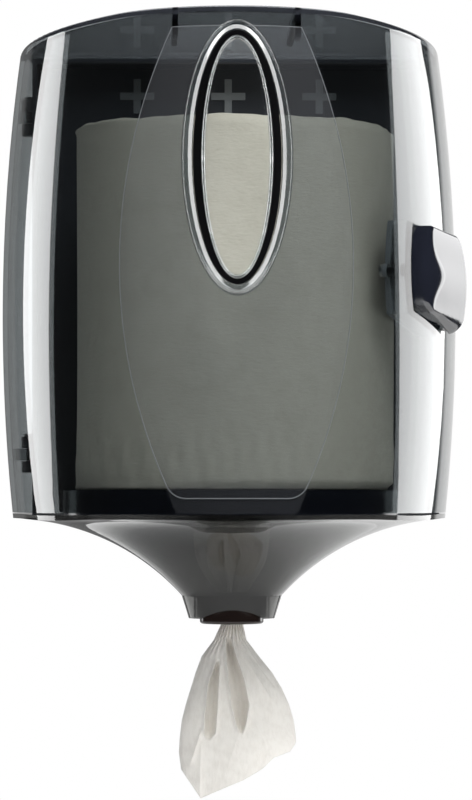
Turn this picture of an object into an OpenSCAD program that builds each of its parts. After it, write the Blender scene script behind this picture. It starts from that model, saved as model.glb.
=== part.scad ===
// Centre pull towel dispenser, wall mounted, in millimetres.
// +X is to the right, +Y is towards the wall (the wall plane is y = 0) and +Z is up.
// The origin is the middle of the four wall screws, at mid height of the case.

/* [Case] */
// Width of the case at its widest level
body_w = 236; // [226:1:246]
// Depth from the wall to the front of the case
body_d = 222; // [214:1:230]
// Height of the case without the funnel
body_h = 242; // [236:1:250]
// Plan radius of the rounded front
nose_r = 80; // [74:1:86]
// Radius of the barrel bulge from top to bottom
barrel_r = 1000; // [900:10:1500]
// Level of the widest section above the middle of the case
widest_z = -17; // [-26:1:-8]
// Wall of the moulded cover
wall = 2.5; // [2.2:0.1:2.8]
// Rounding of the top edge
edge_r = 4; // [3.5:0.5:6]
// Step of the panel on the front
panel_step = 0.8; // [0.5:0.1:1.2]
// Half width of the front panel at its widest
panel_half_w = 55.3; // [50:0.1:58]
// Radius of the front panel's bowed sides
panel_side_r = 260; // [220:5:320]
// Margin of the front panel from the top and bottom of the case
panel_margin = 10; // [8:0.5:14]
// Rounding of the front panel's lower corners
panel_corner_r = 10; // [6:0.5:14]
// Spacing of the two gussets inside the top of the front
gusset_dx = 58; // [54:0.5:62]
// Height of a gusset
gusset_h = 12; // [10:0.5:14]
// Length of a gusset from the front
gusset_l = 28; // [24:0.5:32]
// Thickness of a gusset
gusset_t = 2.4; // [2:0.1:2.8]

/* [Window] */
// Width of the raised oval ring
ring_w = 51; // [48:0.5:54]
// Height of the raised oval ring
ring_h = 129; // [124:0.5:130]
// Width of the ring's band
ring_band = 4.5; // [4:0.1:5]
// Height of the ring above the cover
ring_rise = 2; // [1.5:0.1:2.5]
// Width of the dark gasket's band
gasket_band = 3.8; // [3.4:0.1:4.4]
// Thickness of the clear lens
lens_t = 2; // [1.6:0.1:2.4]
// Width of the lens rim
lens_rim = 2.2; // [1.8:0.1:2.6]
// Height of the lens rim above the lens
lens_rim_rise = 0.7; // [0.4:0.1:1]
// Drop of the ring's top below the top of the case
window_drop = 7.5; // [6:0.5:10]
// Assembly clearance of the window pieces
window_fit = 0.15; // [0.1:0.05:0.3]

/* [Chassis] */
// Gap between the cover and the chassis tray
lap = 0.6; // [0.5:0.1:0.9]
// Wall of the chassis tray
tray_wall = 2.5; // [2.2:0.1:3]
// Depth of the chassis tray
tray_d = 24; // [22:0.5:28]
// Thickness of the back plate
plate_t = 3; // [2.6:0.1:3.6]
// Wall screw spacing across
screw_dx = 140; // [120:1:150]
// Wall screw spacing upright
screw_dz = 140; // [120:1:150]
// Radius of the wall screw holes
screw_hole_r = 2.75; // [2.5:0.05:3]
// Length of an arm of the cross-shaped slots
slot_l = 17; // [14:0.5:20]
// Width of an arm of the cross-shaped slots
slot_w = 2.8; // [2.4:0.1:4.5]
// Spacing of the cross-shaped slots
slot_dx = 48; // [42:1:56]
// Lip of the grey plugs that close the cross slots
plug_lip = 0.5; // [0.3:0.1:1]
// Thickness of the plugs' lip
plug_t = 0.8; // [0.5:0.1:1.5]
// Clearance of the plugs in their slots, per side
plug_fit = 0.05; // [0.03:0.01:0.15]
// Spacing of the two upright ribs on the back plate
spine_dx = 72; // [66:1:80]
// Height of the upright ribs above the back plate
spine_d = 5; // [4:0.5:6]
// Thickness of the upright ribs
spine_t = 2; // [1.8:0.1:2.4]
// Drop of the cross-shaped slots below the top of the case
slot_drop = 20; // [18:0.5:26]

/* [Hinge] */
// Distance of the hinge axis from the wall
pivot_setback = 15; // [14.5:0.5:18]
// Distance of the hinge axis from the side of the case
pivot_inset = 14; // [13.5:0.5:16]
// Radius of a hinge pin
pin_r = 2; // [1.8:0.1:2.2]
// Running clearance of a hinge pin
pin_fit = 0.05; // [0.03:0.01:0.08]
// Radius of the hinge knuckles
knuckle_r = 4.4; // [4.2:0.1:4.8]
// Height of a hinge knuckle
knuckle_h = 6; // [5:0.5:8]
// Height of the hinges above and below the middle of the case
hinge_z = 88; // [80:1:90]
// Gap above and below a hinge knuckle
knuckle_gap = 0.4; // [0.3:0.1:0.6]

/* [Funnel] */
// Distance of the roll and funnel axis from the wall
axis_y = 92; // [90:0.5:94]
// Thickness of the base pan and funnel
pan_t = 2.4; // [2.2:0.1:2.8]
// Seam between the base pan and the cover
seam = 0.4; // [0.3:0.1:0.8]
// Radius at which the funnel starts to fall away
flare_r = 112; // [108:0.5:112]
// Height of the straighter neck above the mouth
neck_h = 11.5; // [10:0.5:14]
// Radius at the top of the funnel's neck
neck_r = 25.2; // [24:0.1:27]
// Radius at the mouth of the funnel
mouth_r = 21.6; // [21.2:0.1:22.4]
// Height of the funnel below the case
funnel_h = 50; // [48:0.5:54]
// Width of the arched notch in the mouth
notch_w = 31; // [28:0.5:34]
// Height of the arched notch in the mouth
notch_h = 4.5; // [3.5:0.1:5.5]

/* [Nozzle] */
// Outer radius of the nozzle
nozzle_r = 19; // [18:0.1:19.2]
// Clearance of the nozzle in the mouth
nozzle_fit = 0.12; // [0.1:0.01:0.2]
// Radius of the hole that the towel is pulled through
aperture_r = 7; // [6.5:0.1:8]
// Height of the nozzle inside the mouth
nozzle_h = 11; // [10:0.5:12]
// Height of the nozzle's lip below the mouth
lip_h = 2.8; // [2:0.1:4]
// Height of the retaining ring
keep_h = 2.4; // [2:0.1:3]

/* [Shelf and roll] */
// Radius of the roll shelf
shelf_r = 85; // [82:0.5:86]
// Height of the shelf's top above the base of the case
shelf_z = 14; // [13:0.5:16]
// Thickness of the shelf
shelf_t = 3; // [2.6:0.1:3.6]
// Wall of the shelf's skirt
skirt_t = 2; // [1.8:0.1:2.6]
// Width of the shelf's flange on the back plate
flange_w = 64; // [56:1:70]
// Height of the flange above the shelf
flange_h = 12; // [10:0.5:14]
// Thickness of the flange
flange_t = 2.6; // [2.2:0.1:3]
// Radius of the throat in the shelf
throat_r = 27; // [25:0.5:30]
// Radius of a full towel roll
roll_r = 77.5; // [74:0.5:78]
// Radius of the roll's hollow core
core_r = 22; // [20:0.5:24]
// Height of the towel roll
roll_h = 182; // [176:1:190]
// Rounding of the roll's edges
roll_edge = 4; // [3:0.5:6]

/* [Latch] */
// Distance of the latch's middle from the wall
latch_y = 128; // [124:0.5:130]
// Length of the latch button along the side
latch_l = 44; // [40:0.5:46]
// Height of the button's top above the middle of the case
latch_up = 23; // [21:0.5:26]
// Depth of the button's lower front below the middle of the case
latch_down = 19.5; // [18:0.5:22]
// Further drop of the button's lower edge towards the wall
latch_slant = 9; // [6:0.5:11]
// Height of the button above the side of the cover
latch_rise = 12.5; // [11:0.5:14]
// Bow of the button's front edge
latch_bow = 4; // [3:0.5:5]
// Wall of the latch button
button_t = 2; // [1.8:0.1:2.4]
// Clearance of the button in its sleeve
latch_fit = 0.4; // [0.3:0.05:0.5]
// Wall of the sleeve
sleeve_t = 1.6; // [1.4:0.1:2]
// Depth of the sleeve inside the cover
sleeve_d = 9; // [8:0.5:10]
// Thickness of the spring bridge and of the arm
strip_t = 2.6; // [2.2:0.1:3]
// Travel of the button
latch_travel = 3.5; // [3:0.1:3.8]
// Grip of the hook behind the keeper
hook_grip = 1.6; // [1.2:0.1:2]
// Height of the keeper's base
keeper_h = 30; // [28:0.5:34]
// Length of the keeper's base along the side
keeper_l = 18; // [17:0.5:20]
// Thickness of the keeper's base
keeper_t = 2; // [1.8:0.1:2.4]
// Reach of the keeper's rib from its base
rib_reach = 3.6; // [3.4:0.1:4]
// Thickness of the keeper's rib
rib_w = 3; // [2.6:0.1:3.4]
// Height of the hook arm
arm_h = 14; // [12:0.5:16]
// Radius of the button's post
post_r = 4; // [3.6:0.1:4.4]
// Radius of the spring's coil
coil_r = 6.5; // [6.2:0.1:7]
// Radius of the spring wire
wire_r = 0.6; // [0.5:0.05:0.7]
// Turns of the spring
coil_turns = 5; // [4:1:7]

/* [Screws] */
// Radius of the screw shanks
shank_r = 1.5; // [1.3:0.05:1.7]
// Radius of the screw heads
head_r = 3; // [2.8:0.1:3.4]
// Height of the screw heads
head_h = 1.6; // [1.4:0.1:2]
// Clearance of the screws in their holes
screw_fit = 0.05; // [0.03:0.01:0.1]

/* [Towel] */
// Length of the hanging towel end below the nozzle
tail_l = 86; // [80:1:95]
// Half width of the hanging towel end
tail_half_w = 29; // [26:0.5:32]
// Half depth of the hanging towel end
tail_half_d = 15; // [12:0.5:18]
// Radius of the towel where it is gathered
twist_r = 5.2; // [4.6:0.1:5.8]
// Pleats around the gathered towel
pleats = 7; // [5:1:9]
// Clearance between the towel and what it passes through
towel_fit = 0.3; // [0.2:0.05:0.5]

/* [Hidden] */

z_top = body_h/2;
z_bot = -body_h/2;
pan_z = z_bot + pan_t;
cover_z = pan_z + seam;
window_z = z_top - window_drop - ring_h/2;
pivot_x = -(body_w/2 - pivot_inset);
pivot_y = -pivot_setback;
nose_y = -(body_d - nose_r);
nose_run = pivot_y - nose_y;
// The side arc is tangent to the front arc and runs straight to the rear at the hinge axis.
side_r = (pow(body_w/2, 2) + pow(nose_run, 2) - pow(nose_r, 2)) / (body_w - 2*nose_r);
side_x = side_r - body_w/2;
join_a = atan2(nose_run, side_x);
nose_a = 90 - join_a;
// The side arcs run on past the hinge axis until they reach the wall at the middle.
rear_a = atan2(pivot_setback + 2, side_x);
// The front lies this much inside the sides where they meet, so that no two skins coincide.
join_step = 0.08;
// The top edge's rounding meets the flat top at this angle.
edge_a = 10;

tray_in = wall + lap;
tray_z1 = z_top - wall - lap;
tray_x = pivot_x + 1.5;
pin_l = 3*knuckle_h + 2*knuckle_gap;
pin_head_r = 1.6*pin_r;
funnel_z = z_bot - funnel_h;
shelf_top = z_bot + shelf_z;
roll_z = shelf_top + 0.05;
neck_z = funnel_z + neck_h;
// The flaring curve starts level at the rim and ends at the neck.
flare_drop = z_bot - neck_z;
flare_curve = (pow(flare_r - neck_r, 2) + pow(flare_drop, 2))/(2*flare_drop);
flare_z = z_bot - flare_curve;
seat_z = funnel_z + nozzle_h;
nozzle_bore_r = nozzle_r + nozzle_fit;
screw_pitch = screw_dx/2;
boss_r = head_r + 0.4;

latch_a = asin((latch_y - pivot_setback)/side_r);
latch_x = side_r*cos(latch_a) - side_x;
bridge_u = -wall - sleeve_d;
arm_u = bridge_u - strip_t - 0.3;
front_v = -latch_l/2;
// Inner face of the tray's right wall at the top of the keeper.
keeper_half = keeper_h/2;
keeper_wall = body_w/2 - tray_in - tray_wall - pow(keeper_half - widest_z, 2)/(2*barrel_r) - 0.2;
rib_x = keeper_wall - keeper_t - rib_reach;
rib_y = pivot_y - keeper_l/2;

window_hole_w = ring_w - 2*ring_band;
window_hole_h = ring_h - 2*ring_band;
lens_w = window_hole_w - 2*gasket_band;
lens_h = window_hole_h - 2*gasket_band + 2.6;
shelf_fit = 0.1;
shelf_back = axis_y - shelf_r + throat_r/2;

// Half section of the case about a plan centre, r away from it at the widest level.
module skin_profile(r, inset, z0, z1, top_r = 0) {
  inner = barrel_r - inset - top_r;
  corner_z = z1 - top_r*cos(edge_a);
  corner = r - barrel_r + sqrt(pow(inner, 2) - pow(corner_z - widest_z, 2));
  lean = asin((corner_z - widest_z)/inner);
  intersection() {
    translate([r - barrel_r, widest_z]) circle(r = barrel_r - inset, $fn = 256);
    translate([0, z0]) square([r + 20, corner_z + top_r*sin(lean) - z0]);
  }
  if (top_r > 0) {
    translate([0, z0]) square([corner, z1 - z0]);
    intersection() {
      translate([corner, corner_z]) circle(r = top_r, $fn = 64);
      translate([0, z0]) square([r + 20, z1 - z0]);
    }
  }
}

// The rounded front, turned a little past the joins with the sides.
module nose_sector() {
  translate([0, nose_y, 0]) rotate(-90 - nose_a - 2) rotate_extrude(angle = 2*nose_a + 4, $fn = 256) children();
}

// The case's solid, drawn in by inset, between two levels and as far back as y = back.
module case_solid(inset, z0, z1, back, top_r = 0) {
  nose_sector() skin_profile(nose_r, inset + join_step, z0, z1, top_r);
  for (s = [0, 1]) mirror([s, 0, 0]) intersection() {
    translate([-side_x, pivot_y, 0]) rotate(-join_a)
      rotate_extrude(angle = join_a + rear_a, $fn = 256) skin_profile(side_r, inset, z0, z1, top_r);
    translate([0, -body_d, z0 - 1]) cube([body_w, body_d + back, z1 - z0 + 2]);
  }
}

// A layer of the rounded front between two insets, where negative is outside the skin.
module front_layer(outer, inner) {
  nose_sector() difference() {
    skin_profile(nose_r, outer + join_step, z_bot, z_top);
    skin_profile(nose_r, inner + join_step, z_bot - 1, z_top + 1);
  }
}

// Oval at the window's height.
module oval(w, h) {
  translate([0, window_z]) scale([w/h, 1]) circle(r = h/2, $fn = 128);
}

module for_both() {
  intersection() {
    children();
    mirror([1, 0, 0]) children();
  }
}

// Extrudes a front outline, drawn in X and Z, through the front of the case.
module through_front() {
  translate([0, nose_y, 0]) rotate([90, 0, 0]) linear_extrude(nose_r + 30) children();
}

module oval_band(w, h, band) {
  difference() {
    oval(w, h);
    oval(w - 2*band, h - 2*band);
  }
}

// Outline of the bowed panel on the front.
module panel_outline() {
  low = z_bot + panel_margin;
  corner_z = low + panel_corner_r;
  bow_x = panel_half_w - panel_side_r;
  bow_in = panel_side_r - panel_corner_r;
  corner_x = bow_x + sqrt(pow(bow_in, 2) - pow(corner_z, 2));
  join_z = corner_z*panel_side_r/bow_in;
  intersection() {
    for_both() translate([bow_x, 0]) circle(r = panel_side_r, $fn = 256);
    translate([-body_w/2, join_z]) square([body_w, z_top - panel_margin - join_z]);
  }
  translate([-corner_x, low]) square([2*corner_x, body_h/2]);
  for (k = [-1, 1]) translate([k*corner_x, corner_z]) circle(r = panel_corner_r, $fn = 64);
}

// Local frame of the latch: X outwards from the side, Y along the side to the wall.
module at_latch() {
  translate([latch_x, -latch_y, 0]) rotate(-latch_a) children();
}

// Side outline of the latch button, grown by g, in local Y and Z.
module latch_side(g) {
  front_r = (pow(latch_up, 2) + pow(latch_bow, 2))/(2*latch_bow);
  intersection() {
    polygon([
      [front_v - 20, latch_up + 1 + g],
      [latch_l/2 + g, latch_up - 3 + g],
      [latch_l/2 + g, -latch_down - latch_slant - g],
      [front_v - 20, -latch_down + latch_slant*20/latch_l - g]
    ]);
    translate([front_v - latch_bow + front_r, 0]) circle(r = front_r + g, $fn = 128);
  }
}

// Extrudes a side outline of the latch from local x = u0 to x = u1.
module across_latch(u0, u1) {
  translate([u0, 0, 0]) rotate([90, 0, 90]) linear_extrude(u1 - u0) children();
}

// Pillow form of the button, drawn in by inset, from local x = u0 outwards.
module latch_form(inset, u0) {
  plan_r = 70;
  front_r = 60;
  intersection() {
    across_latch(u0, latch_rise + 1) latch_side(-inset);
    translate([0, 0, -body_h/4]) linear_extrude(body_h/2)
      translate([latch_rise - plan_r, latch_l/11]) circle(r = plan_r - inset, $fn = 128);
    translate([0, latch_l, 0]) rotate([90, 0, 0]) linear_extrude(2*latch_l)
      translate([latch_rise - front_r, -3]) circle(r = front_r - inset, $fn = 128);
  }
}

// Pan head screw pointing up from its head's seat at z = 0, with a cross recess.
module screw(l) {
  difference() {
    union() {
      cylinder(r = shank_r, h = l, $fn = 32);
      translate([0, 0, -head_h]) cylinder(r = head_r, h = head_h, $fn = 32);
    }
    for (a = [0, 90]) rotate(a) translate([-head_r*0.6, -0.4, -head_h - 1]) cube([head_r*1.2, 0.8, 1.7]);
  }
}

module screw_hole(l) {
  cylinder(r = shank_r + screw_fit, h = l, $fn = 32);
}

module at_hinges() {
  for (k = [-1, 1]) translate([pivot_x, pivot_y, k*hinge_z]) children();
}

module at_pan_screws() {
  for (x = [-screw_pitch, screw_pitch]) translate([x, -tray_d/2, z_bot]) children();
}

module at_shelf_screws() {
  for (k = [-1, 1]) translate([k*flange_w*0.344, -plate_t - flange_t - shelf_fit, shelf_top + flange_h*0.54])
    rotate([-90, 0, 0]) children();
}

module at_keeper_screws() {
  for (k = [-1, 1]) translate([keeper_wall - keeper_t, rib_y + keeper_l*0.56, k*(keeper_half - boss_r - 0.6)])
    rotate([0, 90, 0]) children();
}

// Places of the two bridge screws, beside the sleeve, in local Y and Z of the latch.
sleeve_out = latch_fit + sleeve_t + boss_r - 1.2;
bridge_spots = [[front_v - latch_bow - sleeve_out, 0], [latch_l/2 + sleeve_out, arm_h/2 + boss_r + 1.5]];

module at_bridge_screws() {
  for (p = bridge_spots) at_latch() translate([bridge_u - strip_t, p[0], p[1]]) rotate([0, 90, 0]) children();
}

// Block over the sleeve's outline with two screw ears, from local x = u0 to x = u1.
module bridge_block(u0, u1) {
  at_latch() across_latch(u0, u1) latch_side(latch_fit + sleeve_t);
  for (p = bridge_spots) at_latch() across_latch(u0, u1) translate(p) circle(r = boss_r, $fn = 48);
}

// Knuckles of the chassis, below and above each knuckle of the cover.
module chassis_knuckles() {
  at_hinges() for (k = [0, 1]) mirror([0, 0, k])
    translate([0, 0, knuckle_h/2 + knuckle_gap]) {
      cylinder(r = knuckle_r, h = knuckle_h, $fn = 64);
      translate([0, -knuckle_r + 1, 0]) cube([tray_x - pivot_x + 1, 2*knuckle_r - 2, knuckle_h]);
    }
}

module wall_holes() {
  for (x = [-1, 1], z = [-1, 1]) translate([x*screw_dx/2, 0, z*screw_dz/2]) rotate([90, 0, 0]) children();
}

// Chassis: a tray against the wall, with hinge knuckles, ribs, slots and screw holes.
module at_slots() {
  for (x = [-1, 0, 1]) translate([x*slot_dx, 0, z_top - slot_drop]) children();
}

// Two crossed bars, grown by a margin, from one depth in front of the wall to another.
module slot_cross(grow, y0, y1) {
  for (a = [0, 90]) rotate([0, a, 0]) translate([-slot_l/2 - grow, -y0, -slot_w/2 - grow])
    cube([slot_l + 2*grow, y0 - y1, slot_w + 2*grow]);
}

module back_plate() {
  color("#2b2e31") difference() {
    union() {
      difference() {
        intersection() {
          case_solid(tray_in, pan_z, tray_z1, 0);
          translate([tray_x, -tray_d, z_bot]) cube([body_w, tray_d, body_h]);
        }
        intersection() {
          case_solid(tray_in + tray_wall, pan_z + tray_wall, tray_z1 - tray_wall, -plate_t);
          translate([tray_x + tray_wall, -body_d/2, z_bot]) cube([body_w, body_d/2, body_h]);
        }
      }
      chassis_knuckles();
      wall_holes() cylinder(r = 9, h = plate_t + 2, $fn = 64);
      for (k = [-1, 1]) translate([k*spine_dx/2 - spine_t/2, -plate_t - spine_d, pan_z + tray_wall - 1])
        cube([spine_t, spine_d + 1, body_h - slot_drop - slot_l - tray_wall - 2*spine_d]);
    }
    wall_holes() translate([0, 0, -1]) cylinder(r = screw_hole_r, h = plate_t + 9, $fn = 64);
    at_slots() slot_cross(0, plate_t + 1, -1);
    at_hinges() {
      translate([0, 0, -body_h/4]) cylinder(r = pin_r + pin_fit, h = body_h/2, $fn = 64);
      translate([0, 0, -knuckle_h/2 - knuckle_gap]) cylinder(r = knuckle_r + lap, h = knuckle_h + 2*knuckle_gap, $fn = 64);
      translate([0, 0, pin_l/2 - 0.02]) cylinder(r = pin_head_r + 0.3, h = knuckle_h/2, $fn = 64);
    }
    at_pan_screws() screw_hole(pan_t + tray_wall + 1);
    at_shelf_screws() screw_hole(flange_t + plate_t - 0.4);
    at_keeper_screws() screw_hole(keeper_t + tray_wall - 0.3);
  }
}

module slot_plugs() {
  color("#7b8085") at_slots() {
    slot_cross(-plug_fit, plate_t + plug_t/2, plate_t/3);
    slot_cross(plug_lip, plate_t + plug_t, plate_t);
  }
}

module hinge_pins() {
  color("#b9bcbf") at_hinges() {
    translate([0, 0, -pin_l/2]) cylinder(r = pin_r, h = pin_l, $fn = 64);
    translate([0, 0, pin_l/2]) cylinder(r = pin_head_r, h = 1.5, $fn = 64);
  }
}

// Half section of the pan: a flat rim that falls away in one curve to a straighter neck.
module funnel_profile() {
  difference() {
    union() {
      translate([flare_r, z_bot]) square([body_d, pan_t]);
      intersection() {
        difference() {
          translate([0, neck_z]) square([flare_r, pan_z - neck_z]);
          translate([flare_r, flare_z]) circle(r = flare_curve, $fn = 256);
        }
        translate([flare_r, flare_z]) circle(r = flare_curve + pan_t, $fn = 256);
      }
      polygon([[nozzle_bore_r, funnel_z], [mouth_r, funnel_z], [neck_r, neck_z], [neck_r, neck_z + 1],
        [nozzle_bore_r, neck_z + 1]]);
    }
    translate([0, seat_z]) square([neck_r - pan_t, neck_z + 20 - seat_z]);
  }
}

// Base pan with the funnel, fixed below the chassis.
module funnel_pan() {
  arch_r = (pow(notch_w/2, 2) + pow(notch_h, 2))/(2*notch_h);
  color("#4a4f55", 0.7) difference() {
    intersection() {
      union() {
        translate([0, -axis_y, 0]) rotate_extrude($fn = 128) funnel_profile();
        at_pan_screws() cylinder(r = boss_r + 0.6, h = pan_t - 0.02, $fn = 48);
      }
      case_solid(0, funnel_z - 1, pan_z, -1);
    }
    at_pan_screws() translate([0, 0, -funnel_h/4]) cylinder(r = boss_r, h = funnel_h/4, $fn = 48);
    translate([0, -axis_y, funnel_z + notch_h - arch_r]) rotate([90, 0, 0])
      cylinder(r = arch_r, h = neck_r + 5, $fn = 128);
    at_pan_screws() translate([0, 0, -1]) screw_hole(pan_t + 2);
  }
}

module pan_screws() {
  color("#9a9da0") at_pan_screws() screw(pan_t + tray_wall);
}

// Turned nozzle: a seat in the mouth, a rounded lip and a hole that flares upwards.
module nozzle_insert() {
  lip_r = nozzle_r - 3;
  flare = nozzle_r - 3 - aperture_r;
  color("#241c1a") translate([0, -axis_y, 0]) rotate_extrude($fn = 96) difference() {
    union() {
      translate([0, funnel_z - lip_h/2]) square([lip_r, nozzle_h + lip_h/2]);
      translate([0, funnel_z - lip_h]) square([lip_r - lip_h/2, lip_h]);
      translate([lip_r - lip_h/2, funnel_z - lip_h/2]) circle(r = lip_h/2, $fn = 32);
      translate([0, funnel_z + notch_h + 0.5]) square([nozzle_r, nozzle_h - notch_h - 0.5]);
    }
    translate([0, funnel_z - lip_h - 1]) square([aperture_r, nozzle_h + lip_h + 2]);
    translate([aperture_r, seat_z]) difference() {
      translate([0, -flare]) square([flare, flare + 1]);
      translate([flare, -flare]) circle(r = flare, $fn = 64);
    }
  }
}

module nozzle_ring() {
  color("#1c1d1f") translate([0, -axis_y, seat_z + 0.02]) difference() {
    cylinder(r = neck_r - pan_t - nozzle_fit, h = keep_h, $fn = 96);
    translate([0, 0, -1]) cylinder(r = nozzle_r - 2.6, h = keep_h + 2, $fn = 96);
  }
}

// Round shelf with a skirt that stands on the pan and a flange on the back plate.
module roll_shelf() {
  skirt_z = flare_z + sqrt(pow(flare_curve + pan_t, 2) - pow(flare_r - shelf_r, 2)) + 0.05;
  color("#16181b") difference() {
    union() {
      translate([0, -axis_y, 0]) rotate_extrude($fn = 128) {
        difference() {
          translate([0, skirt_z]) square([shelf_r, shelf_top - skirt_z]);
          translate([0, skirt_z - 1]) square([shelf_r - skirt_t, shelf_top - shelf_t - skirt_z + 1]);
        }
        translate([0, shelf_top - 2.5*shelf_t]) square([throat_r + 2.5, 2.5*shelf_t]);
      }
      translate([-flange_w/2, -plate_t - flange_t - shelf_fit, shelf_top - shelf_t])
        cube([flange_w, flange_t, shelf_t + flange_h]);
      translate([-flange_w/2, -shelf_back, shelf_top - shelf_t])
        cube([flange_w, shelf_back - plate_t - shelf_fit, shelf_t]);
    }
    translate([0, -axis_y, shelf_top - 3*shelf_t]) cylinder(r = throat_r, h = 4*shelf_t, $fn = 96);
    translate([-body_w/2, -tray_d - 0.3, z_bot - funnel_h])
      cube([body_w, tray_d + 1, funnel_h + pan_t + tray_wall + 0.2]);
    at_shelf_screws() translate([0, 0, -1]) screw_hole(flange_t + 2);
  }
}

module shelf_screws() {
  color("#9a9da0") at_shelf_screws() screw(flange_t + plate_t - 0.6);
}

// Keeper: a base on the tray's right wall with the rib that the hook grips.
module latch_keeper() {
  color("#8f949a") difference() {
    union() {
      translate([keeper_wall - keeper_t, rib_y, -keeper_half]) cube([keeper_t, keeper_l, keeper_h]);
      translate([rib_x, rib_y, -arm_h/2 - 1]) cube([keeper_wall - rib_x - 1, rib_w, arm_h + 2]);
    }
    at_keeper_screws() translate([0, 0, -1]) screw_hole(keeper_t + 2);
  }
}

module keeper_screws() {
  color("#9a9da0") at_keeper_screws() screw(keeper_t + tray_wall - 0.5);
}

// Full roll with a hollow core and soft rounded edges.
module towel_roll() {
  color("#d9d8d0") translate([0, -axis_y, roll_z]) rotate_extrude($fn = 128) {
    translate([core_r, 0]) square([roll_r - core_r - roll_edge, roll_h]);
    translate([core_r, roll_edge]) square([roll_r - core_r, roll_h - 2*roll_edge]);
    for (z = [roll_edge, roll_h - roll_edge]) translate([roll_r - roll_edge, z]) circle(r = roll_edge, $fn = 48);
  }
}

function middle(ring) = [for (p = ring) 1/len(ring)]*ring;

// Closed skin over rings of equal point counts, from the first ring to the last.
module ring_skin(rings) {
  n = len(rings[0]);
  m = len(rings);
  polyhedron(
    points = concat([for (r = rings) each r], [middle(rings[0]), middle(rings[m - 1])]),
    faces = concat(
      [for (i = [0:n - 1]) [n*m, i, (i + 1)%n]],
      [for (j = [0:m - 2], i = [0:n - 1]) [j*n + i, (j + 1)*n + i, j*n + (i + 1)%n]],
      [for (j = [0:m - 2], i = [0:n - 1]) [j*n + (i + 1)%n, (j + 1)*n + i, (j + 1)*n + (i + 1)%n]],
      [for (i = [0:n - 1]) [n*m + 1, (m - 1)*n + (i + 1)%n, (m - 1)*n + i]]
    ),
    convexity = 6
  );
}

// Level, radius and pleat depth of the towel on its way from the core to the nozzle.
web_run = [
  [roll_z + 14, core_r - towel_fit, 0.03],
  [roll_z + 2, core_r - 1.2, 0.06],
  [shelf_top - 8, core_r - 3, 0.1],
  [z_bot - 8, core_r - 4.5, 0.13],
  [z_bot - 18, core_r - 6.5, 0.15],
  [z_bot - 26, core_r - 10, 0.16],
  [neck_z + 4, twist_r + 3, 0.15],
  [seat_z + keep_h, twist_r + 1.9, 0.13],
  [seat_z - 3, twist_r + 1, 0.11],
  [funnel_z + 1, twist_r + 0.2, 0.09],
  [funnel_z - lip_h, twist_r, 0.08]
];

function web_ring(z, r, deep, turn) = [for (a = [0:5:355])
  let (p = r*(1 - deep + deep*cos(pleats*a + turn))) [p*cos(a), p*sin(a) - axis_y, z]];

// Gathered towel between the roll's core and the nozzle.
module towel_web() {
  color("#e6e4dc") ring_skin([for (i = [0:len(web_run) - 1])
    web_ring(web_run[i][0], web_run[i][1], web_run[i][2], 14*i)]);
}

// Share of the full spread at a drop d below the nozzle.
function spread(d) = 1 - exp(-pow(d/(tail_l*0.256), 1.5));
// Height of the torn lower edge above the tip, by the distance from the middle.
function hem(x) = x < -0.69*tail_half_w ? (-0.69*tail_half_w - x)*2.4 : (x + 0.69*tail_half_w)*0.52;

tail_rings = 15;
tail_z = funnel_z - lip_h - 0.05;

function tail_ring(j, k) = [for (a = [0:6:354])
  let (
    t = j/(tail_rings - 1),
    fold = 1 - 0.2*spread(t*tail_l)*(0.5 + 0.5*cos(pleats*a + 40*sin(a) + 30)),
    x1 = tail_half_w*cos(a)*(1 - 0.2*(0.5 + 0.5*cos(pleats*a + 40*sin(a) + 30))),
    d = t*(tail_l - hem(x1)),
    w = twist_r + (tail_half_w - twist_r)*spread(d),
    b = twist_r + (tail_half_d - twist_r)*spread(d)
  ) [k*w*fold*cos(a) + 2*spread(d), k*b*fold*sin(a) - axis_y, tail_z - d]];

// Hanging end of the towel, spread below the nozzle in pleats and hollow inside.
module towel_tail() {
  color("#efece4") ring_skin(concat(
    [for (j = [0:tail_rings - 1]) tail_ring(j, 1)],
    [for (j = [tail_rings - 1:-2:5]) tail_ring(j, 0.86)]
  ));
}

module cover_knuckles() {
  intersection() {
    at_hinges() translate([0, 0, -knuckle_h/2]) {
      cylinder(r = knuckle_r, h = knuckle_h, $fn = 64);
      translate([-pivot_inset, -2*knuckle_r, 0]) cube([pivot_inset, 2*knuckle_r, knuckle_h]);
    }
    union() {
      case_solid(wall/2, cover_z, z_top - wall/2, pivot_y);
      at_hinges() translate([0, 0, -knuckle_h]) cylinder(r = knuckle_r, h = 2*knuckle_h, $fn = 64);
    }
  }
}

// Cover: a barrel-shaped shell with a bowed panel, a window, hinge knuckles and a latch sleeve.
module front_cover() {
  color("#5a6066", 0.55) difference() {
    union() {
      difference() {
        case_solid(0, z_bot - 2, z_top, -2, edge_r);
        case_solid(wall, z_bot - 4, z_top - wall, 1, edge_r - wall);
        translate([-body_w, -2*body_d, z_bot - funnel_h]) cube([2*body_w, 3*body_d, funnel_h + cover_z - z_bot]);
        translate([-body_w, pivot_y, z_bot - 1]) cube([body_w + pivot_x, body_d, body_h + 2]);
      }
      intersection() {
        front_layer(-panel_step, wall/2);
        through_front() panel_outline();
      }
      intersection() {
        case_solid(wall/2, z_top - wall - gusset_h, z_top - wall/2, -body_d/2);
        for (k = [-1, 1]) translate([k*gusset_dx/2 - gusset_t/2, -body_d, z_bot]) cube([gusset_t, gusset_l, body_h]);
      }
      cover_knuckles();
      bridge_block(bridge_u, -wall);
    }
    through_front() oval(window_hole_w, window_hole_h);
    intersection() {
      front_layer(-panel_step - 1, 0);
      through_front() oval(ring_w + 2*window_fit, ring_h + 2*window_fit);
    }
    at_latch() across_latch(bridge_u - 1, latch_rise) latch_side(latch_fit);
    at_hinges() translate([0, 0, -body_h/4]) cylinder(r = pin_r + pin_fit, h = body_h/2, $fn = 64);
    at_bridge_screws() screw_hole(strip_t + sleeve_d*0.6);
  }
}

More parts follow.
